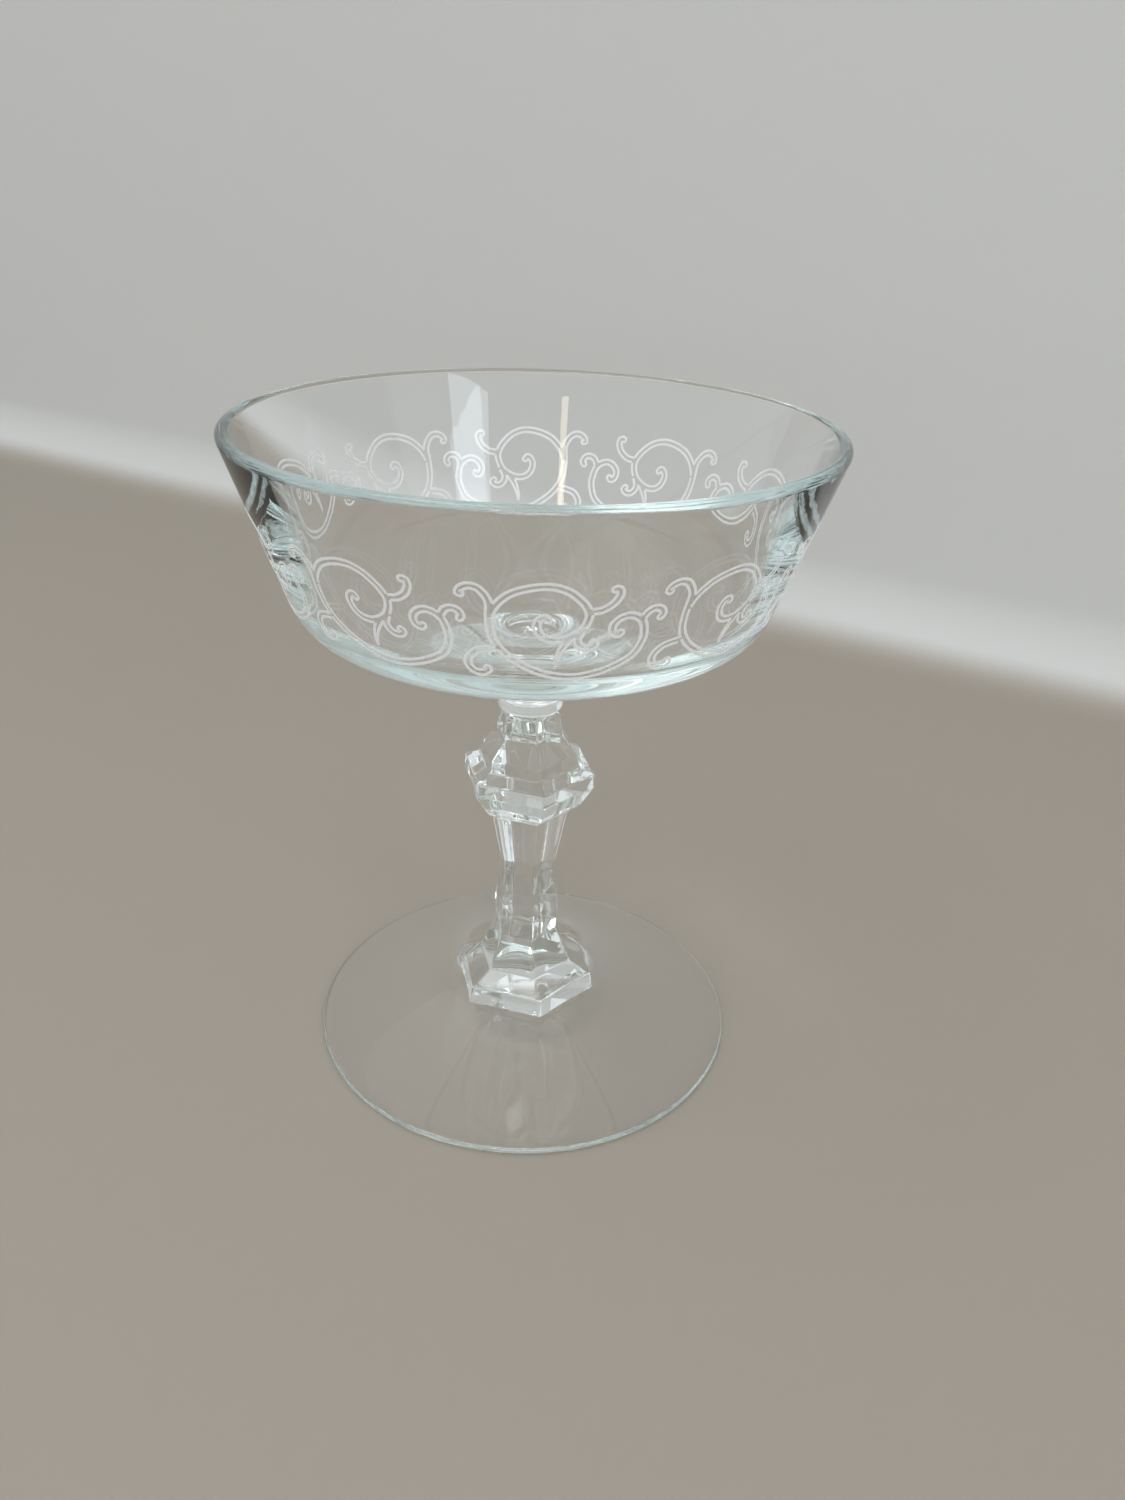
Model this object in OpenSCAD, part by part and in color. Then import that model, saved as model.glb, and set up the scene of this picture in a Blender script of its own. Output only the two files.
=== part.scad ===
// Stemmed coupe glass: a conical bowl on a moulded six-sided stem and a thin domed foot.
// Origin at the centre of the ring the foot rests on, +Z up, millimetres.

/* [Overall] */
// Height from the table to the rim
glass_h = 112.6; // [104:0.1:160]
// Diameter of the rim, outside
rim_d = 95; // [78:0.5:120]
// Diameter of the foot
foot_d = 76.9; // [60:0.1:100]

/* [Bowl] */
// Lean of the bowl's side, in degrees from upright
side_lean = 19.2; // [12:0.1:24]
// Height of the straight side, from the rim's rounding to where the heel starts to turn
side_h = 24.8; // [20:0.1:32]
// Outer radius of the heel, where the side turns under
heel_r = 8.3; // [5:0.1:11]
// Slope of the bowl's underside towards the neck, in degrees
base_slope = 14; // [8:0.5:20]
// Thickness of the wall at the rim
wall_rim = 2; // [1.2:0.1:2.6]
// Thickness of the wall where it meets the heel
wall_heel = 2.5; // [1.6:0.1:3.4]
// Inner radius of the corner between the wall and the bowl's floor
corner_r = 6.5; // [4:0.1:9]
// Thickness of the floor over the end of the heel
floor_t = 4.2; // [3:0.1:6]
// Slope of the bowl's dished floor at its edge, in degrees
floor_slope = 15; // [6:0.5:18]
// Diameter of the solid neck under the bowl
neck_d = 9.2; // [7:0.1:14]
// Length of the neck, from the collar to where it starts to flare
neck_h = 2.6; // [1.5:0.1:6]
// Radius of the flare from the neck into the underside
flare_r = 5; // [3:0.1:8]

/* [Collar] */
// Diameter of the round collar between bowl and stem
merese_d = 11.1; // [11:0.1:18]
// Height of the collar
merese_h = 2.8; // [2.5:0.1:6]
// Rounding of the collar's edges
merese_edge = 0.9; // [0.5:0.1:1.2]

/* [Stem] */
// Turn of the stem's corners about the axis, in degrees
stem_turn = 14.4; // [0:0.1:60]
// Depth of the hollow across each face, as a share of the face's width
flute_share = 0.02; // [0.02:0.01:0.12]
// Corner radius at the bottom of the plinth
plinth_r = 13.6; // [11:0.1:18]
// Corner radius at the top of the plinth's wall
plinth_top_r = 13.1; // [10.5:0.1:17.5]
// Height of the plinth's wall
plinth_h = 3.2; // [2:0.1:6]
// Corner radius at the bottom of the tier on the plinth
tier_r = 8.8; // [7:0.1:12]
// Rise of the plinth's sloping top, up to the tier
plinth_slope_h = 2; // [1:0.1:4]
// Corner radius at the top of the tier
tier_top_r = 7.6; // [6:0.1:10]
// Height of the tier
tier_h = 2.9; // [2:0.1:5]
// Corner radius of the waist over the tier
waist_r = 5.9; // [4.5:0.1:8]
// Rise from the tier to the waist
waist_rise = 3.7; // [2:0.1:6]
// Corner radius of the small bulge over the waist
bulge_r = 6.3; // [5:0.1:9]
// Rise from the waist to the bulge
bulge_rise = 4.4; // [3:0.1:7]
// Corner radius of the shaft where it is thinnest
shaft_r = 5; // [4:0.1:7]
// Rise from the bulge to the thinnest part of the shaft
shaft_rise = 8.6; // [6:0.1:14]
// Corner radius at the top of the shaft, under the knop
shaft_top_r = 7.4; // [6:0.1:9]
// Corner radius of the step under the knop
step_r = 9.6; // [8:0.1:12]
// Rise of the step under the knop
step_rise = 1.6; // [1:0.1:3]
// Corner radius of the knop at its widest
knop_r = 12.1; // [10:0.1:16]
// Rise from the step to the knop's widest edge
knop_rise = 4; // [3:0.1:8]
// Height of the knop's upright edge
knop_edge_h = 2.6; // [0.6:0.1:4]
// Corner radius at the bottom of the small tier on the knop
ledge_r = 9.2; // [7.5:0.1:11]
// Rise of the knop's sloping top, up to that tier
ledge_rise = 1.1; // [0.5:0.1:3]
// Corner radius at the top of that tier
ledge_top_r = 8.8; // [7:0.1:10.5]
// Height of that tier
ledge_h = 2.1; // [1:0.1:4]
// Corner radius where the sloping shoulder meets the throat
throat_r = 6.1; // [4.5:0.1:8]
// Height of the sloping shoulder
shoulder_h = 3.4; // [2:0.1:8]
// Corner radius of the throat just under the collar
throat_top_r = 5.4; // [4.5:0.1:7]
// Height of the throat
throat_h = 3.9; // [1.5:0.1:5]
// Height of the chamfer between the throat and the collar
throat_edge = 0.7; // [0.4:0.1:1.2]

/* [Foot] */
// Thickness of the foot at its edge
foot_edge_t = 1.3; // [1:0.1:2.4]
// Height of the foot's seat, where the plinth stands
foot_rise = 8.2; // [6.5:0.1:12]
// Thickness of the foot in the middle
foot_mid_t = 2.4; // [2:0.1:4]
// Radius of the flat crown of the hollow under the foot
crown_r = 11; // [6:0.5:16]
// Width of the flat ring that the foot rests on
rest_w = 1.6; // [1:0.1:3]
// Hollow of the foot's faces, below a straight line from seat to edge
foot_sag = 0.9; // [0:0.1:1.4]
// Margin of the seat round the plinth's corners
seat_margin = 0.4; // [0.2:0.1:1.5]

/* [Hidden] */
$fn = 96;

ARC_N = 10;    // steps in each rounded stretch of an outline
FLUTE_N = 6;   // steps across each face of the stem
SIDES = 6;     // faces of the stem

glass_tint = [0.86, 0.93, 0.93, 0.45];
joint_tint = [0.94, 0.96, 0.96, 0.75];

// Outline helpers. An outline is a list of [radius, height] points.
function arc(c, r, a0, a1, n = ARC_N) =
    [for (i = [0 : n]) c + r * [cos(a0 + (a1 - a0) * i / n), sin(a0 + (a1 - a0) * i / n)]];

// A shallow curve from p to q, lowered by sag in the middle
function bow(p, q, sag, n = ARC_N) =
    [for (i = [0 : n]) p + (q - p) * i / n - [0, 4 * sag * i * (n - i) / (n * n)]];

// The point at distance d from two lines, each given by a point and its normal
function crossing(p, m, q, n, d) =
    let (a = p * m + d, b = q * n + d, det = m[0] * n[1] - m[1] * n[0])
    [(a * n[1] - b * m[1]) / det, (m[0] * b - n[0] * a) / det];

module turned(outline) {
    rotate_extrude() polygon(outline);
}

// ---- Bowl outline, from the rim down ----
rim_r = rim_d / 2;
rim_round = wall_rim / 2;
rim_c = [rim_r - rim_round, glass_h - rim_round];
// The straight side runs from the rim's rounding to the heel, which turns on heel_c
side_top = rim_c + rim_round * [cos(side_lean), -sin(side_lean)];
side_foot = side_top - side_h * [tan(side_lean), 1];
heel_c = side_foot - heel_r * [cos(side_lean), -sin(side_lean)];
heel_end = heel_c + heel_r * [sin(base_slope), -cos(base_slope)];
// The underside falls from the heel's end to the flare, which turns down into the neck
neck_r = neck_d / 2;
flare_c_r = neck_r + flare_r;
flare_top_r = flare_c_r - flare_r * sin(base_slope);
flare_top_z = heel_end[1] - (heel_end[0] - flare_top_r) * tan(base_slope);
flare_c = [flare_c_r, flare_top_z - flare_r * cos(base_slope)];
neck_z = flare_c[1] - neck_h;
// The wall thickens from the rim to the heel, so its inner face leans a little more
inner_foot = side_foot - wall_heel * [cos(side_lean), -sin(side_lean)];
inner_top = rim_c - rim_round * [cos(side_lean), -sin(side_lean)];
inner_lean = atan((inner_top[0] - inner_foot[0]) / (inner_top[1] - inner_foot[1]));
// The inner corner touches the inner face and the floor, which lies floor_t over the heel's end
wall_normal = [-cos(inner_lean), sin(inner_lean)];
floor_normal = [-sin(floor_slope), cos(floor_slope)];
corner_c = crossing(inner_foot, wall_normal, heel_end + [0, floor_t], floor_normal, corner_r);
corner_end = corner_c - corner_r * floor_normal;
// The floor is a shallow dish, level in the middle
dish_r = corner_end[0] / sin(floor_slope);
dish_c = [0, corner_end[1] + dish_r * cos(floor_slope)];

bowl_outline = concat(
    [[0, neck_z], [neck_r, neck_z]],
    arc(flare_c, flare_r, 180, 90 + base_slope),
    arc(heel_c, heel_r, base_slope - 90, -side_lean),
    arc(rim_c, rim_round, -side_lean, 180 - inner_lean),
    arc(corner_c, corner_r, -inner_lean, floor_slope - 90),
    arc(dish_c, dish_r, floor_slope - 90, -90)
);

module bowl() {
    color(glass_tint) turned(bowl_outline);
}

// ---- Collar, under the bowl's neck ----
merese_z = neck_z - merese_h;
// The collar is always wide enough to seat the neck
merese_r = max(merese_d / 2, neck_r + merese_edge);

module merese() {
    edge_c = merese_r - merese_edge;
    color(joint_tint)
        translate([0, 0, merese_z])
            turned(concat(
                [[0, 0]],
                arc([edge_c, merese_edge], merese_edge, -90, 0),
                arc([edge_c, merese_h - merese_edge], merese_edge, 0, 90),
                [[0, merese_h]]
            ));
}

// ---- Stem, a stack of six-sided rings with hollowed faces ----
// The shaft takes up the height that the other stretches leave
stem_z = foot_rise;
stem_h = merese_z - stem_z;
below_shaft = plinth_h + plinth_slope_h + tier_h + waist_rise + bulge_rise + shaft_rise;
knop_h = step_rise + knop_rise + knop_edge_h + ledge_rise + ledge_h;
over_shaft = knop_h + shoulder_h + throat_h + throat_edge;
shaft_h = stem_h - below_shaft - over_shaft;
throat_end_r = min(throat_top_r - throat_edge, merese_r - merese_edge);

// Each ring is [rise over the ring below, corner radius]
RINGS = [
    [0, plinth_r],
    [plinth_h, plinth_top_r],
    [plinth_slope_h, tier_r],
    [tier_h, tier_top_r],
    [waist_rise, waist_r],
    [bulge_rise, bulge_r],
    [shaft_rise, shaft_r],
    [shaft_h, shaft_top_r],
    [step_rise, step_r],
    [knop_rise, knop_r],
    [knop_edge_h, knop_r],
    [ledge_rise, ledge_r],
    [ledge_h, ledge_top_r],
    [shoulder_h, throat_r],
    [throat_h, throat_top_r],
    [throat_edge, throat_end_r]
];

function ring_z(i) = i == 0 ? stem_z : ring_z(i - 1) + RINGS[i][0];
function corner(r, k) = r * [cos(360 * k / SIDES + stem_turn - 90), sin(360 * k / SIDES + stem_turn - 90)];
// A point across face k, pressed in towards the axis by the flute
function face_point(r, k, t) =
    let (p = corner(r, k), q = corner(r, k + 1), mid = (p + q) / 2)
    p + (q - p) * t - mid / norm(mid) * flute_share * norm(q - p) * 4 * t * (1 - t);
function ring_points(r, z) =
    [for (k = [0 : SIDES - 1], j = [0 : FLUTE_N - 1]) concat(face_point(r, k, j / FLUTE_N), z)];

module stem() {
    n = SIDES * FLUTE_N;
    top = len(RINGS) - 1;
    points = concat(
        [for (i = [0 : top], p = ring_points(RINGS[i][1], ring_z(i))) p],
        [[0, 0, ring_z(0)], [0, 0, ring_z(top)]]
    );
    low_mid = n * (top + 1);
    high_mid = low_mid + 1;
    sides = [for (i = [0 : top - 1], j = [0 : n - 1], half = [0, 1])
        let (a = i * n + j, b = i * n + (j + 1) % n)
        half == 0 ? [a, b + n, b] : [a, a + n, b + n]];
    bottom_cap = [for (j = [0 : n - 1]) [low_mid, j, (j + 1) % n]];
    top_cap = [for (j = [0 : n - 1]) [high_mid, top * n + (j + 1) % n, top * n + j]];
    color(glass_tint) polyhedron(points, concat(sides, bottom_cap, top_cap));
}

// ---- Foot, a thin dome on a flat ring ----
module foot() {
    r = foot_d / 2;
    edge = foot_edge_t / 2;
    seat_r = plinth_r + seat_margin;
    ring_in = r - edge - rest_w;
    crown_z = foot_rise - foot_mid_t;
    color(glass_tint)
        turned(concat(
            [[0, crown_z]],
            bow([crown_r, crown_z], [ring_in, 0], foot_sag),
            arc([r - edge, edge], edge, -90, 90),
            bow([r - edge, foot_edge_t], [seat_r, foot_rise], foot_sag),
            [[0, foot_rise]]
        ));
}

bowl();
merese();
stem();
foot();
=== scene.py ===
"""Etched coupe glass: the finished looks, built round the packed frame and run as a script.

The bowl, collar, stem and foot are raised ring by ring, as a lathe or a mould would give them.
Where two pieces are fused, their faces carry the attribute "fused", and light passes there unbent.
The joint under the collar is left without it, which keeps the collar bright.
"""

import math

import bpy
from bpy.props import FloatProperty, FloatVectorProperty, IntProperty, PointerProperty
from mathutils import Euler, Matrix, Vector
from mathutils.kdtree import KDTree


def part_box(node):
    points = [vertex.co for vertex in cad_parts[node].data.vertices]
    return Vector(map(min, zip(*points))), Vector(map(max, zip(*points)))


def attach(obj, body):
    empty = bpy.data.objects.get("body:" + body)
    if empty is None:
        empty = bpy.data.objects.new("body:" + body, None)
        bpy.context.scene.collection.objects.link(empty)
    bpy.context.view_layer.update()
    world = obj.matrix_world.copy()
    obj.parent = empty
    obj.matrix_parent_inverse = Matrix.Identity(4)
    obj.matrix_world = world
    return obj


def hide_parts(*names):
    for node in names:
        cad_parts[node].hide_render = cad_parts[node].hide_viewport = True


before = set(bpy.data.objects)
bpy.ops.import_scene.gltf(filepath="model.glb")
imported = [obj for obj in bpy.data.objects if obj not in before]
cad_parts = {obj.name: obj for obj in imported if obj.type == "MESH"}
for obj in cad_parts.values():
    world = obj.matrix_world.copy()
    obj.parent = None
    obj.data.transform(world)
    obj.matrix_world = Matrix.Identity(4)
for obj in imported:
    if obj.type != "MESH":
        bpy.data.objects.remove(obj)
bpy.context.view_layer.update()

bl_info = {
    "name": "Etched Coupe Glass",
    "version": (1, 0, 0),
    "blender": (4, 5, 0),
    "location": "View3D > Sidebar > Coupe",
    "description": "Builds a stemmed glass coupe with an etched scroll band round its packed frame",
    "category": "Add Mesh",
}

MM = 0.001
BODY = "root"
# The packed nodes bring a material named after their slot, so the finishes have names of their own
GLASS_FINISH = "polished_glass"
ETCH_FINISH = "etched_skin"
FLOOR_FINISH = "floor_paint"

# Half the slit left between two fused faces, so that a ray always meets both
FUSE_GAP = 0.01 * MM
# Sides of a round piece, and steps in each rounded stretch of an outline
ROUND_SIDES = 240
ARC_STEPS = 18

# How a polished skin waves, hazes and bumps: sizes in 1 / m, then shares and the bump's height
WAVE, FINE_WAVE, FINE_SHARE = 55.0, 190.0, 0.25
HAZE, HAZE_ROUGHNESS = 120.0, 0.014
WAVE_STRENGTH, WAVE_HEIGHT = 0.035, 0.4 * MM
# The etched skin's grain and patchiness, in the same way
GRAIN, GRAIN_STRENGTH, GRAIN_HEIGHT = 5200.0, 0.12, 0.03 * MM
ETCH_ROUGHNESS, GRAIN_ROUGHNESS = 0.55, 0.2
PATCH, PATCH_SHARE = 1500.0, 0.08
# How much of the light on an etched line soaks through it
SOAK = 0.4
# The furthest that a turned outline may lie from its packed node
DRIFT = 0.2 * MM
# The most of a side that the rounding of its corner may take
CORNER_REACH = 0.45
# Steps from knot to knot of the motif, and the step along its lines
KNOT_STEPS = 24
LINE_STEP = 0.22 * MM
# A point of a band's edge counts as inside another band at under this share of its half width
INSIDE = 0.96

# The stem's rings: name, rise over the ring below in mm (None takes what is left), corner radius in mm
STEM_RINGS = (
    ("plinth foot", 0, 13.6),
    ("plinth top", 3.2, 13.1),
    ("tier foot", 2.0, 8.8),
    ("tier top", 2.9, 7.6),
    ("waist", 3.7, 5.9),
    ("bulge", 4.4, 6.3),
    ("thin shaft", 8.6, 5.0),
    ("shaft top", None, 7.4),
    ("step", 1.6, 9.6),
    ("knop foot", 4.0, 12.1),
    ("knop top", 2.6, 12.1),
    ("ledge foot", 1.1, 9.2),
    ("ledge top", 2.1, 8.8),
    ("throat", 3.4, 6.1),
    ("throat top", 3.9, 5.4),
    ("collar joint", 0.7, 4.6),
)

# The soft boxes: name, azimuth right of the front and rise over level in degrees, distance, width
# and height in m, radiance, colour. All face the middle of the bowl.
LIGHT_AIM = (0, 0, 0.1)
LIGHTS = (
    ("key", -60, 66, 1.3, (0.8, 0.6), 2.0, (1.0, 0.99, 0.97)),
    ("fill", -4, 10, 1.3, (0.9, 0.24), 2.2, (0.95, 0.98, 1.0)),
    ("window", 35, 27, 1.1, (0.30, 0.34), 3.2, (0.82, 0.92, 1.0)),
    ("lamp", -12, 28, 1.1, (0.05, 0.30), 6.0, (1.0, 0.86, 0.66)),
)

# The etched motif, drawn flat in mm: along the band, and down the bowl's side from the rim.
# Each stem of it is a narrow band between two etched lines, rounded at its free end.
VINE = (
    (23.7, 18.2), (23.4, 18.55), (22.75, 18.3), (22.4, 17.6), (22.5, 16.7), (23.3, 15.8), (24.5, 15.4),
    (25.7, 15.75), (26.65, 16.6), (27.15, 18.0), (27.3, 19.7), (26.5, 22.0), (25.0, 23.3), (23.0, 24.3),
    (21.0, 25.0), (18.5, 25.5), (16.0, 25.5), (13.5, 25.0), (11.0, 24.0), (8.5, 22.4), (6.9, 20.8),
    (6.0, 19.2), (5.65, 17.5), (5.6, 15.5), (5.7, 13.3), (5.2, 12.0), (4.3, 11.0), (3.2, 10.75),
    (2.2, 11.2), (1.75, 12.0), (2.05, 12.1),
)
GREAT_SCROLL = (
    (5.75, 15.2), (6.3, 14.0), (7.2, 12.8), (8.6, 11.6), (10.5, 10.8), (12.5, 10.4), (14.3, 10.5),
    (16.0, 11.2), (17.3, 12.3), (18.3, 13.5), (18.9, 14.9), (18.7, 16.3), (18.0, 17.6), (16.8, 18.5),
    (15.3, 19.05), (13.8, 19.0), (12.7, 18.4), (12.1, 17.4), (12.0, 16.4), (12.4, 15.6), (13.1, 15.3),
    (13.45, 15.75),
)
TENDRIL = (
    (19.0, 14.5), (20.4, 14.3), (21.4, 13.75), (22.15, 13.0), (22.6, 12.0), (22.55, 11.2), (22.1, 10.9),
    (21.85, 11.0),
)
SMALL_CURL = (
    (18.2, 17.6), (17.7, 18.8), (17.9, 19.8), (18.7, 20.5), (19.7, 20.5), (20.3, 19.9), (19.95, 19.6),
)
TOP_HOOK = ((26.6, 16.0), (27.3, 14.95), (28.3, 14.6), (29.15, 14.95), (29.5, 15.7), (29.25, 16.2))
LOW_CURL = (
    (5.9, 20.9), (4.6, 21.1), (3.2, 21.6), (2.2, 22.8), (2.15, 24.0), (3.0, 25.0), (4.2, 25.15),
    (5.1, 24.6), (4.9, 24.3),
)
LEAF = ((16.6, 18.8), (15.6, 20.5), (15.0, 22.2), (14.9, 23.5))


# ---------------------------------------------------------------- sizes, finishes and studio
class BowlSizes(bpy.types.PropertyGroup):
    """Sizes of the bowl."""

    rim_radius: FloatProperty(
        name="Rim radius", description="Outer radius of the rim", default=47.5 * MM, unit="LENGTH")
    side_lean: FloatProperty(
        name="Side lean", description="Lean of the side from upright", default=math.radians(19.2),
        subtype="ANGLE")
    side_height: FloatProperty(
        name="Side height", description="Height of the straight side", default=24.8 * MM, unit="LENGTH")
    heel_radius: FloatProperty(
        name="Heel radius", description="Radius where the side turns under", default=8.3 * MM, unit="LENGTH")
    base_slope: FloatProperty(
        name="Base slope", description="Slope of the underside", default=math.radians(14), subtype="ANGLE")
    rim_wall: FloatProperty(
        name="Rim wall", description="Wall at the rim", default=2 * MM, unit="LENGTH")
    heel_wall: FloatProperty(
        name="Heel wall", description="Wall where it meets the heel", default=2.5 * MM, unit="LENGTH")
    corner_radius: FloatProperty(
        name="Corner radius", description="Inner radius between wall and floor", default=6.5 * MM,
        unit="LENGTH")
    floor_wall: FloatProperty(
        name="Floor wall", description="Floor over the heel's end", default=4.2 * MM, unit="LENGTH")
    floor_slope: FloatProperty(
        name="Floor slope", description="Slope of the dished floor at its edge", default=math.radians(15),
        subtype="ANGLE")
    neck_radius: FloatProperty(
        name="Neck radius", description="Radius of the solid neck", default=4.6 * MM, unit="LENGTH")
    flare_radius: FloatProperty(
        name="Flare radius", description="Flare from neck to underside", default=5 * MM, unit="LENGTH")


class StemSizes(bpy.types.PropertyGroup):
    """Sizes of the collar and the pressed stem."""

    turn: FloatProperty(
        name="Turn", description="Turn of the corners about the axis", default=math.radians(14.4),
        subtype="ANGLE")
    flute_share: FloatProperty(
        name="Flute", description="Hollow across each face, as a share of its width", default=0.02)
    corner_share: FloatProperty(
        name="Corner rounding", description="Rounding of the corners, as a share of a face", default=0.06)
    edge_radius: FloatProperty(
        name="Edge rounding", description="Rounding between the rings", default=0.35 * MM, unit="LENGTH")
    collar_radius: FloatProperty(
        name="Collar radius", description="Radius of the round collar", default=5.55 * MM, unit="LENGTH")
    collar_edge: FloatProperty(
        name="Collar edge", description="Rounding of the collar's edges", default=0.9 * MM, unit="LENGTH")


class FootSizes(bpy.types.PropertyGroup):
    """Sizes of the foot."""

    radius: FloatProperty(
        name="Radius", description="Radius of the foot", default=38.45 * MM, unit="LENGTH")
    edge: FloatProperty(
        name="Edge", description="Thickness at the edge", default=1.3 * MM, unit="LENGTH")
    middle: FloatProperty(
        name="Middle", description="Thickness in the middle", default=2.4 * MM, unit="LENGTH")
    crown_radius: FloatProperty(
        name="Crown radius", description="Flat crown of the hollow underneath", default=11 * MM,
        unit="LENGTH")
    rest_width: FloatProperty(
        name="Rest width", description="Width of the ring it rests on", default=1.6 * MM, unit="LENGTH")
    sag: FloatProperty(
        name="Sag", description="Hollow of both faces below straight", default=0.9 * MM, unit="LENGTH")
    seat_margin: FloatProperty(
        name="Seat margin", description="Seat round the plinth's corners", default=0.4 * MM, unit="LENGTH")


class EtchSizes(bpy.types.PropertyGroup):
    """Sizes of the etched scroll band."""

    repeats: IntProperty(name="Repeats", description="Motifs round the bowl", default=10)
    turn: FloatProperty(
        name="Turn", description="Where the first motif starts", default=math.radians(-103), subtype="ANGLE")
    drawn_radius: FloatProperty(
        name="Drawn radius", description="Bowl radius at which the motif is drawn to size",
        default=44 * MM, unit="LENGTH")
    half_band: FloatProperty(
        name="Half band", description="From a band's middle to its etched lines", default=0.43 * MM,
        unit="LENGTH")
    line_width: FloatProperty(
        name="Line width", description="Width of an etched line", default=0.42 * MM, unit="LENGTH")
    depth: FloatProperty(
        name="Depth", description="Thickness given to the etched skin", default=0.03 * MM, unit="LENGTH")
    stand_off: FloatProperty(
        name="Stand-off", description="Clearance from the clear glass", default=0.015 * MM, unit="LENGTH")


class Finishes(bpy.types.PropertyGroup):
    """Colours and strengths of the finishes."""

    glass_index: FloatProperty(name="Index", description="Refractive index", default=1.52)
    body_tint: FloatVectorProperty(
        name="Body tint", description="Colour light takes through thick glass", subtype="COLOR",
        default=(0.62, 0.86, 0.84))
    body_density: FloatProperty(
        name="Body density", description="How fast the tint builds up", default=6.0)
    etch_colour: FloatVectorProperty(
        name="Etch colour", description="Colour of the etched line", subtype="COLOR",
        default=(0.98, 0.985, 0.99))
    etch_cover: FloatProperty(
        name="Etch cover", description="How much the etched line hides", default=0.96)
    floor_colour: FloatVectorProperty(
        name="Floor colour", description="Colour of the floor", subtype="COLOR",
        default=(0.36, 0.32, 0.27))
    backdrop_colour: FloatVectorProperty(
        name="Backdrop colour", description="Colour of the backdrop", subtype="COLOR",
        default=(0.62, 0.625, 0.61))


class Studio(bpy.types.PropertyGroup):
    """Camera, floor and surrounding light."""

    eye: FloatVectorProperty(
        name="Eye", description="Where the camera stands", subtype="TRANSLATION", unit="LENGTH",
        default=(5.75 * MM, -183.6 * MM, 150.8 * MM))
    pitch: FloatProperty(
        name="Pitch", description="Camera tilt below level", default=math.radians(27.19), subtype="ANGLE")
    roll: FloatProperty(
        name="Roll", description="Camera turn about its line of sight", default=math.radians(2.07),
        subtype="ANGLE")
    lens: FloatProperty(
        name="Lens", description="Focal length on a 36 mm film in mm", default=28.5)
    floor_size: FloatProperty(
        name="Floor size", description="Width and depth of the floor", default=6, unit="LENGTH")
    floor_gap: FloatProperty(
        name="Floor gap", description="Slit between the floor and the foot", default=0.02 * MM,
        unit="LENGTH")
    backdrop: FloatProperty(
        name="Backdrop", description="How far behind the glass the backdrop stands", default=0.267,
        unit="LENGTH")
    backdrop_turn: FloatProperty(
        name="Backdrop turn", description="Turn of the backdrop, nearer on the right",
        default=math.radians(-30), subtype="ANGLE")
    backdrop_height: FloatProperty(
        name="Backdrop height", description="Height of the backdrop", default=0.6, unit="LENGTH")
    sweep: FloatProperty(
        name="Sweep", description="Radius between floor and backdrop", default=0.025, unit="LENGTH")
    paler_at: FloatProperty(
        name="Paler at", description="Height at which the sweep has the backdrop's colour", default=0.008,
        unit="LENGTH")
    sky_colour: FloatVectorProperty(
        name="Sky colour", description="Colour of the surrounding light", subtype="COLOR",
        default=(0.95, 0.98, 1.0))
    sky_strength: FloatProperty(
        name="Sky strength", description="Strength of the surrounding light", default=0.85)
    bounces: IntProperty(
        name="Bounces", description="How many times light is followed through the glass", default=24)


GROUPS = {
    "coupe_bowl": BowlSizes,
    "coupe_stem": StemSizes,
    "coupe_foot": FootSizes,
    "coupe_etch": EtchSizes,
    "coupe_finish": Finishes,
    "coupe_studio": Studio,
}


# ---------------------------------------------------------------- shader maths
class Wire:
    """A node socket that takes part in Python expressions."""

    def __init__(self, tree, socket):
        self.tree = tree
        self.socket = socket

    def node(self, kind, settings=(), **values):
        """Add a node; settings are set first, then its sockets by name or, as _0, by number."""
        made = self.tree.nodes.new(kind)
        for key, value in dict(settings).items():
            setattr(made, key, value)
        for key, value in values.items():
            socket = made.inputs[int(key[1:])] if key[0] == "_" else made.inputs[key.replace("_", " ")]
            if isinstance(value, Wire):
                self.tree.links.new(value.socket, socket)
            else:
                socket.default_value = value
        return made

    def math(self, operation, *terms):
        """A Math node on numbers and wires."""
        values = {"_%d" % i: term for i, term in enumerate(terms)}
        return Wire(self.tree, self.node("ShaderNodeMath", {"operation": operation}, **values).outputs[0])

    def ramp(self, low, high):
        """A smooth rise from 0 to 1 as this wire goes from low to high."""
        settings = {"interpolation_type": "SMOOTHSTEP"}
        made = self.node("ShaderNodeMapRange", settings, Value=self, From_Min=low, From_Max=high)
        return Wire(self.tree, made.outputs["Result"])

    def height(self):
        """The third number of this vector."""
        return Wire(self.tree, self.node("ShaderNodeSeparateXYZ", _0=self).outputs["Z"])

    def __add__(self, other):
        return self.math("ADD", self, other)

    def __radd__(self, other):
        return self.math("ADD", other, self)

    def __mul__(self, other):
        return self.math("MULTIPLY", self, other)

    def __rmul__(self, other):
        return self.math("MULTIPLY", other, self)


def new_material(name):
    """An empty material: its node tree, its output node and a wire on the object's own coordinates."""
    material = bpy.data.materials.new(name)
    material.use_nodes = True
    tree = material.node_tree
    tree.nodes.clear()
    output = tree.nodes.new("ShaderNodeOutputMaterial")
    coords = tree.nodes.new("ShaderNodeTexCoord")
    return material, tree, output, Wire(tree, coords.outputs["Object"])


def noise(place, scale, detail=2.0):
    """A noise that varies over a length of about 1 / scale metres."""
    made = place.node("ShaderNodeTexNoise", Vector=place, Scale=scale, Detail=detail)
    return Wire(place.tree, made.outputs["Fac"])


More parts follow.
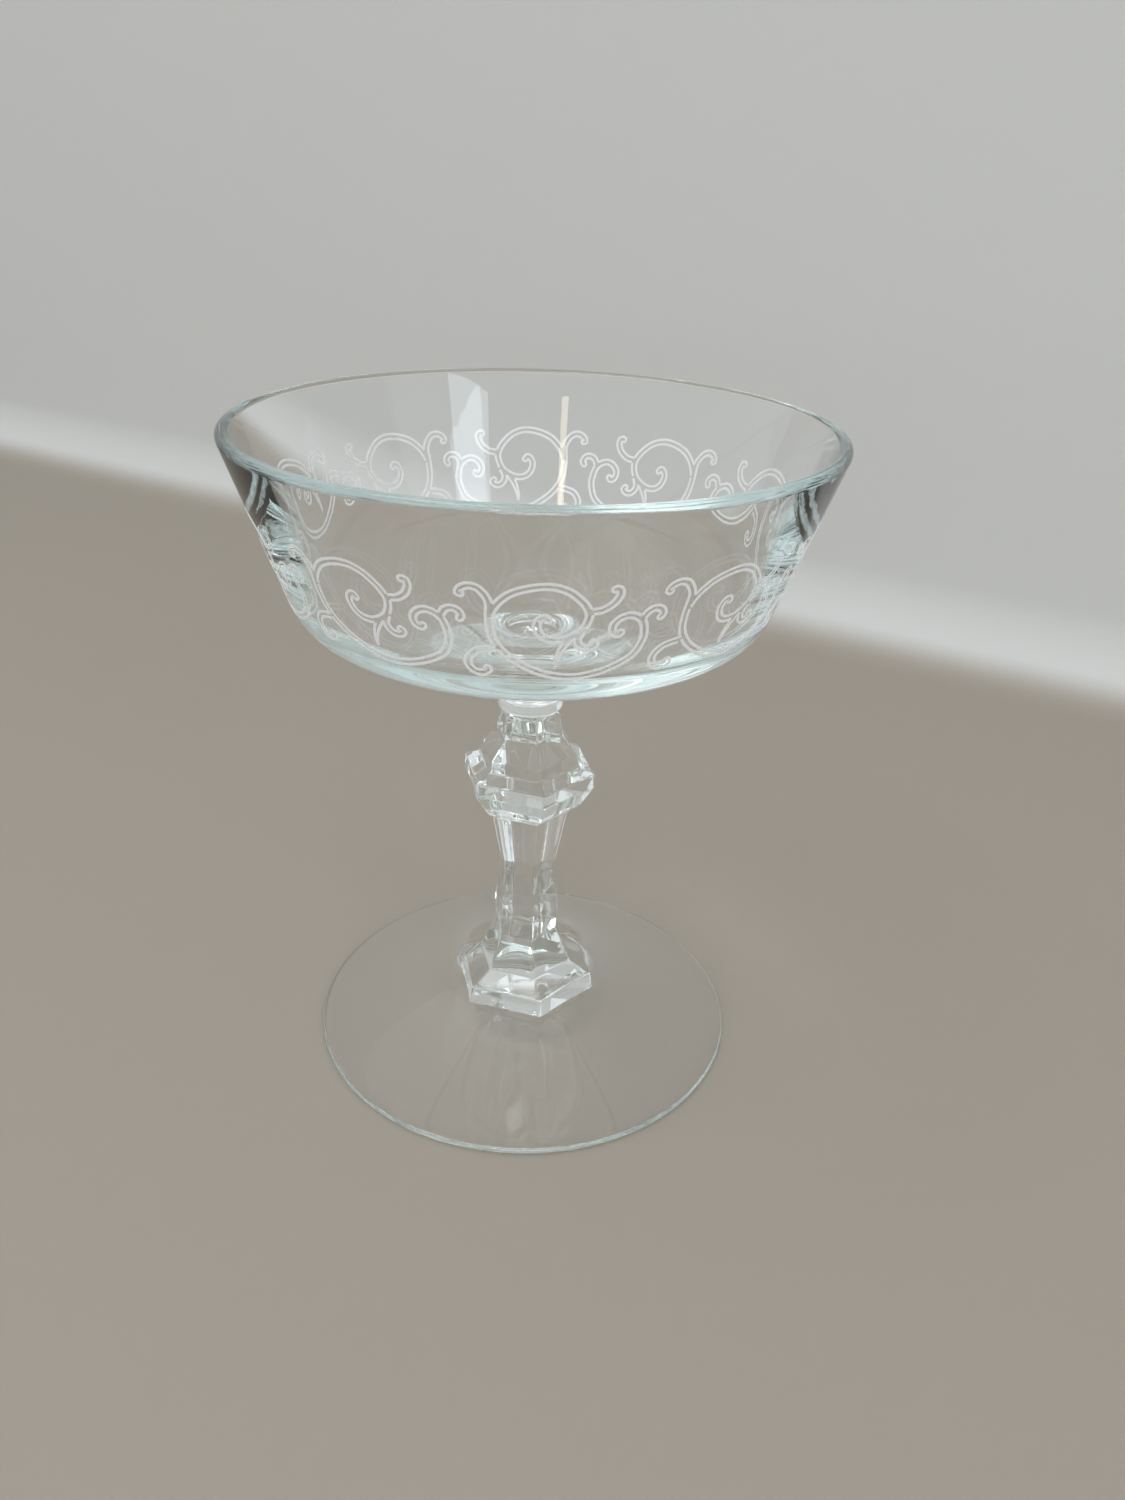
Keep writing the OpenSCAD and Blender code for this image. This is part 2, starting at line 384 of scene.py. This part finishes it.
def clear_glass():
    """Fire-polished glass: faintly wavy, a little hazed by handling, and cool in the thick."""
    looks = bpy.context.scene.coupe_finish
    material, tree, output, place = new_material(GLASS_FINISH)
    waves = noise(place, WAVE) + noise(place, FINE_WAVE) * FINE_SHARE
    bump = place.node("ShaderNodeBump", Strength=WAVE_STRENGTH, Distance=WAVE_HEIGHT, Height=waves)
    haze = noise(place, HAZE, 4.0) * HAZE_ROUGHNESS
    skin = place.node(
        "ShaderNodeBsdfPrincipled",
        Base_Color=(1, 1, 1, 1),
        Roughness=haze,
        IOR=looks.glass_index,
        Transmission_Weight=1.0,
        Normal=Wire(tree, bump.outputs["Normal"]),
    )
    open_face = tree.nodes.new("ShaderNodeBsdfTransparent")
    fused = place.node("ShaderNodeAttribute", {"attribute_name": "fused"})
    mix = place.node(
        "ShaderNodeMixShader",
        _0=Wire(tree, fused.outputs["Fac"]),
        _1=Wire(tree, skin.outputs[0]),
        _2=Wire(tree, open_face.outputs[0]),
    )
    body = place.node(
        "ShaderNodeVolumeAbsorption", Color=(*looks.body_tint, 1), Density=looks.body_density)
    tree.links.new(mix.outputs[0], output.inputs["Surface"])
    tree.links.new(body.outputs[0], output.inputs["Volume"])
    return material


def etched_glass():
    """Acid-etched line: a white, grainy skin that light soaks through."""
    looks = bpy.context.scene.coupe_finish
    material, tree, output, place = new_material(ETCH_FINISH)
    grain = noise(place, GRAIN, 3.0)
    bump = place.node("ShaderNodeBump", Strength=GRAIN_STRENGTH, Distance=GRAIN_HEIGHT, Height=grain)
    normal = Wire(tree, bump.outputs["Normal"])
    front = place.node(
        "ShaderNodeBsdfPrincipled",
        Base_Color=(*looks.etch_colour, 1),
        Roughness=grain * GRAIN_ROUGHNESS + ETCH_ROUGHNESS,
        Normal=normal,
    )
    back = place.node("ShaderNodeBsdfTranslucent", Color=(*looks.etch_colour, 1), Normal=normal)
    lit = place.node(
        "ShaderNodeMixShader", _0=SOAK, _1=Wire(tree, front.outputs[0]), _2=Wire(tree, back.outputs[0]))
    bare = tree.nodes.new("ShaderNodeBsdfTransparent")
    cover = looks.etch_cover - PATCH_SHARE / 2 + noise(place, PATCH) * PATCH_SHARE
    mix = place.node(
        "ShaderNodeMixShader", _0=cover, _1=Wire(tree, bare.outputs[0]), _2=Wire(tree, lit.outputs[0]))
    tree.links.new(mix.outputs[0], output.inputs["Surface"])
    return material


def floor_paint():
    """A plain pale paint, warmer on the floor and paler up the backdrop."""
    looks, studio = bpy.context.scene.coupe_finish, bpy.context.scene.coupe_studio
    material, tree, output, place = new_material(FLOOR_FINISH)
    shade = place.node(
        "ShaderNodeMix",
        {"data_type": "RGBA"},
        _0=place.height().ramp(0.0, studio.paler_at),
        _6=(*looks.floor_colour, 1),
        _7=(*looks.backdrop_colour, 1),
    )
    skin = place.node(
        "ShaderNodeBsdfPrincipled", Base_Color=Wire(tree, shade.outputs[2]), Roughness=0.6)
    tree.links.new(skin.outputs[0], output.inputs["Surface"])
    return material


def finish(name, make):
    """The material of that name, made the first time it is asked for."""
    return bpy.data.materials.get(name) or make()


# ---------------------------------------------------------------- outlines, as (radius, height)
def polar(angle):
    """The direction at an angle over the radius's own."""
    return Vector((math.cos(angle), math.sin(angle)))


def arc(centre, radius, start, end, steps=ARC_STEPS):
    """Points round a centre from one angle to another."""
    return [centre + radius * polar(start + (end - start) * i / steps) for i in range(steps + 1)]


def bow(first, last, sag, steps=ARC_STEPS):
    """A shallow curve between two points, lowered by sag in its middle."""
    points = []
    for i in range(steps + 1):
        t = i / steps
        points.append(first.lerp(last, t) - Vector((0, 4 * sag * t * (1 - t))))
    return points


def crossing(p, m, q, n, distance):
    """The point at a distance from two lines, each given by a point and its normal."""
    a, b = p.dot(m) + distance, q.dot(n) + distance
    det = m.x * n.y - m.y * n.x
    return Vector(((a * n.y - b * m.y) / det, (m.x * b - n.x * a) / det))


def eased(points, radius, steps=6):
    """An outline with its inner points rounded, as a mould leaves them."""
    out = [points[0]]
    for before, point, after in zip(points, points[1:], points[2:]):
        back, ahead = before - point, after - point
        cut = min(radius, CORNER_REACH * back.length, CORNER_REACH * ahead.length)
        start, end = point + back.normalized() * cut, point + ahead.normalized() * cut
        for i in range(steps + 1):
            t = i / steps
            out.append(start * (1 - t) ** 2 + point * (2 * t * (1 - t)) + end * t * t)
    out.append(points[-1])
    return out


def rim_edge():
    """The rim's rounding centre, and the point where it runs into the outer side."""
    sizes = bpy.context.scene.coupe_bowl
    half = sizes.rim_wall / 2
    centre = Vector((sizes.rim_radius - half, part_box("bowl")[1].z - half))
    return centre, centre + half * polar(-sizes.side_lean)


def bowl_outline():
    """From the neck's joint round the outside, over the rim and down to the middle of the floor."""
    sizes = bpy.context.scene.coupe_bowl
    lean, slope, dish = sizes.side_lean, sizes.base_slope, sizes.floor_slope
    up = math.pi / 2
    half = sizes.rim_wall / 2
    rim, side_top = rim_edge()
    side_foot = side_top - sizes.side_height * Vector((math.tan(lean), 1))
    heel = side_foot - sizes.heel_radius * polar(-lean)
    heel_end = heel + sizes.heel_radius * polar(slope - up)
    flare_x = sizes.neck_radius + sizes.flare_radius
    flare_top = flare_x - sizes.flare_radius * math.sin(slope)
    flare_z = heel_end.y - (heel_end.x - flare_top) * math.tan(slope) - sizes.flare_radius * math.cos(slope)
    inner_foot = side_foot - sizes.heel_wall * polar(-lean)
    inner_top = rim - half * polar(-lean)
    inner_lean = math.atan2(inner_top.x - inner_foot.x, inner_top.y - inner_foot.y)
    wall_normal, floor_normal = -polar(-inner_lean), polar(dish + up)
    corner = crossing(
        inner_foot, wall_normal, heel_end + Vector((0, sizes.floor_wall)), floor_normal, sizes.corner_radius)
    corner_end = corner - sizes.corner_radius * floor_normal
    dish_radius = corner_end.x / math.sin(dish)
    dish_centre = Vector((0, corner_end.y + dish_radius * math.cos(dish)))
    neck_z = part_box("bowl")[0].z + FUSE_GAP
    return (
        [Vector((sizes.neck_radius, neck_z))]
        + arc(Vector((flare_x, flare_z)), sizes.flare_radius, math.pi, up + slope)
        + arc(heel, sizes.heel_radius, slope - up, -lean, 2 * ARC_STEPS)
        + arc(rim, half, -lean, math.pi - inner_lean, ARC_STEPS)
        + arc(corner, sizes.corner_radius, -inner_lean, dish - up)
        + arc(dish_centre, dish_radius, dish - up, -up, 2 * ARC_STEPS)
    )


def pressed_section(flute_steps=14, corner_steps=6):
    """The stem's section for a corner radius of 1: six hollowed faces and rounded corners."""
    sizes = bpy.context.scene.coupe_stem
    faces = 6
    apothem, width = math.cos(math.pi / faces), 1.0
    cut = sizes.corner_share

    def face_point(t):
        return Vector(((t - 0.5) * width, -apothem + sizes.flute_share * width * 4 * t * (1 - t)))

    corner = face_point(1)
    last = face_point(1 - cut)
    step = Matrix.Rotation(2 * math.pi / faces, 2)
    first_of_next = step @ face_point(cut)
    one = [face_point(cut + (1 - 2 * cut) * i / flute_steps) for i in range(flute_steps)]
    for i in range(corner_steps):
        t = i / corner_steps
        one.append(last * (1 - t) ** 2 + corner * (2 * t * (1 - t)) + first_of_next * t * t)
    # The first face lies between the corners at -120 and -60 degrees
    turn = sizes.turn + math.pi / faces
    return [Matrix.Rotation(turn + 2 * math.pi * k / faces, 2) @ p for k in range(faces) for p in one]


# ---------------------------------------------------------------- modelling by rings
def deselect():
    """Leave edit mode and select nothing."""
    if bpy.context.object and bpy.context.object.mode != "OBJECT":
        bpy.ops.object.mode_set(mode="OBJECT")
    bpy.ops.object.select_all(action="DESELECT")


def start_ring(name, radius, height, section=None):
    """A filled ring at a height, round or of a given section, left in edit mode with its edge selected."""
    deselect()
    sides = len(section) if section else ROUND_SIDES
    bpy.ops.mesh.primitive_circle_add(vertices=sides, radius=radius, fill_type="NGON", location=(0, 0, 0))
    piece = bpy.context.object
    piece.name = name
    piece.data.name = name
    if section:
        for vertex, point in zip(piece.data.vertices, section):
            vertex.co = (point.x * radius, point.y * radius, 0)
    for vertex in piece.data.vertices:
        vertex.co.z = height
    bpy.ops.object.mode_set(mode="EDIT")
    bpy.ops.mesh.select_mode(type="EDGE")
    bpy.ops.mesh.select_all(action="SELECT")
    return piece


def raise_rings(outline):
    """Extrude the selected ring from the outline's first point through all its others."""
    for low, high in zip(outline, outline[1:]):
        bpy.ops.mesh.extrude_edges_move(TRANSFORM_OT_translate={"value": (0, 0, high.y - low.y)})
        share = high.x / low.x
        bpy.ops.transform.resize(value=(share, share, 1), center_override=(0, 0, high.y))


def round_ring(piece, radius):
    """Bring the selected ring, whatever its section, to a true circle."""
    bpy.ops.object.mode_set(mode="OBJECT")
    for vertex in piece.data.vertices:
        if vertex.select:
            vertex.co.xy = vertex.co.xy.normalized() * radius
    bpy.ops.object.mode_set(mode="EDIT")


def new_ring():
    """Extrude the selected ring in place."""
    bpy.ops.mesh.extrude_edges_move(TRANSFORM_OT_translate={"value": (0, 0, 0)})


def close_piece(piece, material, joints=(), pole=False, sharp=math.radians(40)):
    """Close the last ring, point the faces outwards, mark the fused faces and give the finish."""
    if pole:
        bpy.ops.mesh.merge(type="CENTER")
    else:
        bpy.ops.mesh.edge_face_add()
    bpy.ops.mesh.select_all(action="SELECT")
    bpy.ops.mesh.remove_doubles(threshold=1e-7)
    bpy.ops.mesh.normals_make_consistent(inside=False)
    bpy.ops.object.mode_set(mode="OBJECT")
    bpy.ops.object.shade_smooth_by_angle(angle=sharp)
    fused = piece.data.attributes.new("fused", "FLOAT", "FACE")
    for face, mark in zip(piece.data.polygons, fused.data):
        level = abs(face.normal.z) > 0.999
        mark.value = float(level and any(abs(face.center.z - z) < 2 * FUSE_GAP and
                                         face.center.xy.length < reach for z, reach in joints))
    piece.data.materials.append(material)
    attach(piece, BODY)
    return piece


def check_rings(name, outline, node):
    """Stop if a turned outline has drifted from its packed node."""
    low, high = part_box(node)
    bottom = min(p.y for p in outline)
    top = max(p.y for p in outline)
    if abs(bottom - low.z) > DRIFT or abs(top - high.z) > DRIFT:
        raise ValueError(f"{name} runs from {bottom} to {top}, but its node from {low.z} to {high.z}")


# ---------------------------------------------------------------- the etched band
def smooth_path(knots, step):
    """Points at an even step along a smooth curve through the knots."""
    knots = [Vector(k) * MM for k in knots]
    ends = [2 * knots[0] - knots[1]] + knots + [2 * knots[-1] - knots[-2]]
    fine = []
    for a, b, c, d in zip(ends, ends[1:], ends[2:], ends[3:]):
        for i in range(KNOT_STEPS):
            t = i / KNOT_STEPS
            fine.append(0.5 * (2 * b + (c - a) * t + (2 * a - 5 * b + 4 * c - d) * t * t
                               + (3 * b - a - 3 * c + d) * t ** 3))
    fine.append(knots[-1])
    return resampled(fine, step)


def resampled(points, step):
    """The same line with its points a step apart."""
    out = [points[0]]
    left = step
    for a, b in zip(points, points[1:]):
        run = (b - a).length
        done = 0.0
        while run - done >= left:
            done += left
            out.append(a.lerp(b, done / run))
            left = step
        left -= run - done
    if (points[-1] - out[-1]).length > 0.3 * step:
        out.append(points[-1])
    return out


class Side:
    """The bowl's outer side, as the sheet that the flat motif is laid on."""

    def __init__(self):
        sizes, etch = bpy.context.scene.coupe_bowl, bpy.context.scene.coupe_etch
        self.lean = sizes.side_lean
        self.out = polar(-self.lean)
        self.down = -Vector((math.sin(self.lean), math.cos(self.lean)))
        side_top = rim_edge()[1]
        side_foot = side_top - sizes.side_height * Vector((math.tan(self.lean), 1))
        # The motif is measured from where the line of the side reaches the rim's radius
        self.top = side_top - self.down * (sizes.rim_radius - side_top.x) / math.sin(self.lean)
        self.straight = (self.top - side_foot).length
        self.heel_radius = sizes.heel_radius
        self.heel_centre = side_foot - self.heel_radius * self.out
        self.drawn = etch.drawn_radius

    def profile(self, v, lift):
        """Radius and height at a distance down the side, lifted off the glass."""
        if v <= self.straight:
            return self.top + self.down * v + self.out * lift
        angle = -self.lean - (v - self.straight) / self.heel_radius
        return self.heel_centre + (self.heel_radius + lift) * polar(angle)

    def stretch(self, v):
        """How much longer the bowl is round than the motif is drawn."""
        return self.profile(v, 0).x / self.drawn

    def lay(self, point, lift):
        """The place on the bowl of a point of the flat motif."""
        spot = self.profile(point.y, lift)
        around = point.x / self.drawn
        return Vector((spot.x * math.cos(around), spot.x * math.sin(around), spot.y))


def beside(side, path, i, distance):
    """The point at a distance to the left of a path's i-th point, measured on the bowl."""
    a, b = path[max(i - 1, 0)], path[min(i + 1, len(path) - 1)]
    wide = side.stretch(path[i].y)
    along = Vector(((b.x - a.x) * wide, b.y - a.y)).normalized()
    return path[i] + Vector((-along.y * distance / wide, along.x * distance))


def band_edge(side, path, half, taper=None):
    """The line round a band: up one side, round its free end and back down the other."""
    last = len(path) - 1
    widths = [half * (taper(i / last) if taper else 1.0) for i in range(last + 1)]
    left = [beside(side, path, i, widths[i]) for i in range(last + 1)]
    right = [beside(side, path, i, -widths[i]) for i in range(last + 1)]
    cap = []
    if not taper:
        wide = side.stretch(path[-1].y)
        along = path[-1] - path[-2]
        heading = math.atan2(along.y, along.x * wide)
        for k in range(1, 12):
            turn = heading + math.pi / 2 - math.pi * k / 12
            cap.append(path[-1] + half * Vector((math.cos(turn) / wide, math.sin(turn))))
    return left + cap + right[::-1]


def visible_runs(side, edge, others, half):
    """The stretches of a band's edge that lie outside every other band."""
    runs, run = [], []
    for point in edge:
        wide = side.stretch(point.y)
        spot = (point.x * wide, point.y, 0)
        if any(tree.find(spot)[2] < half * INSIDE for tree in others):
            if len(run) > 2:
                runs.append(run)
            run = []
        else:
            run.append(point)
    if len(run) > 2:
        runs.append(run)
    return runs


def etched_ribbon(side, line, width, lift):
    """A strip of skin along a line of the motif, laid on the bowl."""
    bpy.ops.mesh.primitive_grid_add(x_subdivisions=len(line) - 1, y_subdivisions=1, size=MM)
    strip = bpy.context.object
    count = len(line)
    for i in range(count):
        strip.data.vertices[i].co = side.lay(beside(side, line, i, width / 2), lift)
        strip.data.vertices[count + i].co = side.lay(beside(side, line, i, -width / 2), lift)
    return strip


def motif_lines(side):
    """Every etched line of one motif, with the bands that branch off left open at their mouths."""
    etch = bpy.context.scene.coupe_etch
    bands = [(VINE, True), (GREAT_SCROLL, False), (TENDRIL, False), (SMALL_CURL, False),
             (TOP_HOOK, False), (LOW_CURL, False), (LEAF, False)]
    paths = [smooth_path(knots, LINE_STEP) for knots, _ in bands]
    trees = []
    for path in paths:
        tree = KDTree(len(path))
        for i, point in enumerate(path):
            tree.insert((point.x * side.stretch(point.y), point.y, 0), i)
        tree.balance()
        trees.append(tree)
    lines = []
    for number, (path, (knots, both_ends)) in enumerate(zip(paths, bands)):
        half = etch.half_band
        taper = (lambda t: 1.1 * (1 - t) ** 0.7) if knots is LEAF else None
        edge = band_edge(side, path, half, taper)
        if both_ends:
            # The other end is free too, so its cap is added and the line is closed
            start_cap = band_edge(side, path[::-1][-3:], half)[3:-3]
            edge = edge + start_cap + edge[:2]
        others = [tree for i, tree in enumerate(trees) if i != number]
        lines += visible_runs(side, edge, others, half)
    return lines


# ---------------------------------------------------------------- operators
class COUPE_OT_bowl(bpy.types.Operator):
    """Raise the bowl from its neck, round the heel and over the rim"""

    bl_idname = "coupe.bowl"
    bl_label = "Bowl"

    def execute(self, context):
        outline = bowl_outline()
        check_rings("the bowl's outline", outline, "bowl")
        piece = start_ring("bowl_glass", outline[0].x, outline[0].y)
        raise_rings(outline[:-1])
        joint = (outline[0].y, outline[0].x)
        close_piece(piece, finish(GLASS_FINISH, clear_glass), [joint], pole=True)
        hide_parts("bowl")
        return {"FINISHED"}


class COUPE_OT_collar(bpy.types.Operator):
    """Raise the round collar between the stem and the bowl"""

    bl_idname = "coupe.collar"
    bl_label = "Collar"

    def execute(self, context):
        sizes = context.scene.coupe_stem
        low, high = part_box("merese")
        bottom, top = low.z + FUSE_GAP, high.z - FUSE_GAP
        joint_radius = STEM_RINGS[-1][2] * MM
        flat = sizes.collar_radius - sizes.collar_edge
        outline = (
            arc(Vector((flat, bottom + sizes.collar_edge)), sizes.collar_edge, -math.pi / 2, 0)
            + arc(Vector((flat, top - sizes.collar_edge)), sizes.collar_edge, 0, math.pi / 2)
            + [Vector((context.scene.coupe_bowl.neck_radius, top))])
        piece = start_ring("collar_glass", joint_radius, bottom, pressed_section())
        new_ring()
        round_ring(piece, flat)
        raise_rings(outline)
        # The lower face isn't marked, so it turns light back up into the collar
        joints = [(top, joint_radius * 0.5)]
        close_piece(piece, finish(GLASS_FINISH, clear_glass), joints)
        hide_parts("merese")
        return {"FINISHED"}


class COUPE_OT_stem(bpy.types.Operator):
    """Raise the pressed six-sided stem through its knop"""

    bl_idname = "coupe.stem"
    bl_label = "Stem"

    def execute(self, context):
        low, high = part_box("stem")
        rises = [rise for _, rise, _ in STEM_RINGS]
        shaft = (high.z - low.z) - sum(rise * MM for rise in rises if rise is not None)
        height = low.z
        points = []
        for _, rise, radius in STEM_RINGS:
            height += shaft if rise is None else rise * MM
            points.append(Vector((radius * MM, height)))
        outline = eased(points, context.scene.coupe_stem.edge_radius)
        outline[0].y += FUSE_GAP
        outline[-1].y -= FUSE_GAP
        piece = start_ring("stem_glass", outline[0].x, outline[0].y, pressed_section())
        raise_rings(outline)
        # The top isn't marked, as the collar's lower face isn't
        joints = [(outline[0].y, outline[0].x)]
        close_piece(piece, finish(GLASS_FINISH, clear_glass), joints, sharp=math.radians(60))
        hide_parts("stem")
        return {"FINISHED"}


class COUPE_OT_foot(bpy.types.Operator):
    """Spread the thin domed foot from the plinth's seat"""

    bl_idname = "coupe.foot"
    bl_label = "Foot"

    def execute(self, context):
        sizes = context.scene.coupe_foot
        seat_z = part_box("foot")[1].z
        plinth = STEM_RINGS[0][2] * MM
        seat = plinth + sizes.seat_margin
        half = sizes.edge / 2
        rim = sizes.radius - half
        crown = Vector((sizes.crown_radius, seat_z - sizes.middle))
        ring_in = Vector((rim - sizes.rest_width, 0))
        outline = (
            bow(Vector((seat, seat_z)), Vector((rim, sizes.edge)), sizes.sag)
            + arc(Vector((rim, half)), half, math.pi / 2, -math.pi / 2)
            + bow(ring_in, crown, sizes.sag))
        piece = start_ring("foot_glass", plinth, seat_z - FUSE_GAP, pressed_section())
        new_ring()
        bpy.ops.transform.translate(value=(0, 0, FUSE_GAP))
        round_ring(piece, seat)
        raise_rings(outline)
        joints = [(seat_z - FUSE_GAP, plinth * 0.5)]
        close_piece(piece, finish(GLASS_FINISH, clear_glass), joints)
        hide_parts("foot")
        return {"FINISHED"}


class COUPE_OT_scrolls(bpy.types.Operator):
    """Etch the scroll motif once and repeat it round the bowl"""

    bl_idname = "coupe.scrolls"
    bl_label = "Etched scrolls"

    def execute(self, context):
        etch = context.scene.coupe_etch
        side = Side()
        deselect()
        strips = [etched_ribbon(side, line, etch.line_width, etch.stand_off) for line in motif_lines(side)]
        for strip in strips:
            strip.select_set(True)
        bpy.ops.object.join()
        motif = bpy.context.object
        skin = motif.modifiers.new("skin", "SOLIDIFY")
        skin.thickness = etch.depth
        skin.offset = 1
        bpy.ops.object.modifier_apply(modifier=skin.name)
        bpy.ops.object.mode_set(mode="EDIT")
        bpy.ops.mesh.select_all(action="SELECT")
        bpy.ops.mesh.normals_make_consistent(inside=False)
        bpy.ops.object.mode_set(mode="OBJECT")
        bpy.ops.object.transform_apply(location=True, rotation=True, scale=True)
        motif.data.materials.append(finish(ETCH_FINISH, etched_glass))
        motif.data.transform(Matrix.Rotation(etch.turn, 4, "Z"))
        for number in range(etch.repeats):
            if number:
                deselect()
                motif.select_set(True)
                context.view_layer.objects.active = motif
                bpy.ops.object.duplicate()
                motif = context.object
                motif.data.transform(Matrix.Rotation(2 * math.pi / etch.repeats, 4, "Z"))
            motif.name = "etched_scroll_%02d" % (number + 1)
            motif.data.name = motif.name
            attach(motif, BODY)
        return {"FINISHED"}


def select_edges(piece, test):
    """Go into edit mode with just those edges selected whose two ends pass the test."""
    bpy.ops.object.mode_set(mode="EDIT")
    bpy.ops.mesh.select_mode(type="EDGE")
    bpy.ops.mesh.select_all(action="DESELECT")
    bpy.ops.object.mode_set(mode="OBJECT")
    points = [vertex.co for vertex in piece.data.vertices]
    for edge in piece.data.edges:
        edge.select = all(test(points[number]) for number in edge.vertices)
    bpy.ops.object.mode_set(mode="EDIT")


def soft_light(name, azimuth, rise, distance, size, radiance, colour):
    """A soft box that faces the bowl, from an azimuth right of the front and a rise over level."""
    turn, tilt = math.radians(azimuth), math.radians(rise)
    towards = Vector((math.sin(turn) * math.cos(tilt), -math.cos(turn) * math.cos(tilt), math.sin(tilt)))
    deselect()
    bpy.ops.object.light_add(type="AREA", location=Vector(LIGHT_AIM) + towards * distance)
    lamp = bpy.context.object
    lamp.name = name
    lamp.rotation_euler = towards.to_track_quat("Z", "Y").to_euler()
    lamp.data.shape = "RECTANGLE"
    lamp.data.size, lamp.data.size_y = size
    # A flat light of power P and area A has the radiance P / (pi A)
    lamp.data.energy = radiance * math.pi * size[0] * size[1]
    lamp.data.color = colour
    return lamp


class COUPE_OT_stage(bpy.types.Operator):
    """Lay the pale floor up into its backdrop, and set the camera and the soft lights"""

    bl_idname = "coupe.stage"
    bl_label = "Stage"

    def execute(self, context):
        studio = context.scene.coupe_studio
        deselect()
        size = studio.floor_size
        bpy.ops.mesh.primitive_plane_add(size=size)
        floor = context.object
        floor.name = "floor"
        behind = studio.backdrop * math.cos(studio.backdrop_turn)
        floor.data.transform(Matrix.Translation((0, behind - size / 2, -studio.floor_gap)))
        select_edges(floor, lambda p: p.y > behind - MM)
        bpy.ops.mesh.extrude_edges_move(TRANSFORM_OT_translate={"value": (0, 0, studio.backdrop_height)})
        select_edges(floor, lambda p: p.y > behind - MM and p.z < MM)
        bpy.ops.mesh.bevel(offset=studio.sweep, segments=32, affect="EDGES")
        bpy.ops.object.mode_set(mode="OBJECT")
        bpy.ops.object.shade_smooth()
        floor.data.transform(Matrix.Rotation(studio.backdrop_turn, 4, "Z"))
        floor.data.materials.append(finish(FLOOR_FINISH, floor_paint))

        deselect()
        bpy.ops.object.camera_add(location=studio.eye)
        camera = context.object
        camera.name = "camera"
        aim = Euler((math.pi / 2 - studio.pitch, 0, 0)).to_matrix() @ Matrix.Rotation(studio.roll, 3, "Z")
        camera.rotation_euler = aim.to_euler()
        camera.data.lens = studio.lens
        camera.data.sensor_width = 36
        camera.data.clip_start = 0.01
        context.scene.camera = camera

        for light in LIGHTS:
            soft_light(*light)
        world = bpy.data.worlds.new("studio")
        world.use_nodes = True
        sky = world.node_tree.nodes["Background"]
        sky.inputs["Color"].default_value = (*studio.sky_colour, 1)
        sky.inputs["Strength"].default_value = studio.sky_strength
        context.scene.world = world
        context.scene.view_settings.view_transform = "Standard"
        # Light is piped many times round a glass wall, and a blurred bounce would lose part of it
        cycles = context.scene.cycles
        for kind in ("max", "glossy", "transmission", "transparent_max"):
            setattr(cycles, kind + "_bounces", studio.bounces)
        cycles.blur_glossy = 0
        return {"FINISHED"}


OPERATORS = (
    COUPE_OT_stage, COUPE_OT_foot, COUPE_OT_stem, COUPE_OT_collar, COUPE_OT_bowl, COUPE_OT_scrolls,
)


class COUPE_PT_panel(bpy.types.Panel):
    """The coupe's sizes and pieces"""

    bl_idname = "COUPE_PT_panel"
    bl_label = "Etched coupe"
    bl_space_type = "VIEW_3D"
    bl_region_type = "UI"
    bl_category = "Coupe"

    def draw(self, context):
        for key, group in GROUPS.items():
            box = self.layout.box()
            box.label(text=group.__doc__)
            for name in group.__annotations__:
                box.prop(getattr(context.scene, key), name)
        for operator in OPERATORS:
            self.layout.operator(operator.bl_idname)


def register():
    for cls in (*GROUPS.values(), *OPERATORS, COUPE_PT_panel):
        bpy.utils.register_class(cls)
    for key, group in GROUPS.items():
        setattr(bpy.types.Scene, key, PointerProperty(type=group))


def unregister():
    for key in GROUPS:
        delattr(bpy.types.Scene, key)
    for cls in reversed((*GROUPS.values(), *OPERATORS, COUPE_PT_panel)):
        bpy.utils.unregister_class(cls)


def main():
    register()
    bpy.ops.coupe.stage()
    bpy.ops.coupe.foot()
    bpy.ops.coupe.stem()
    bpy.ops.coupe.collar()
    bpy.ops.coupe.bowl()
    bpy.ops.coupe.scrolls()


if __name__ == "__main__":
    main()
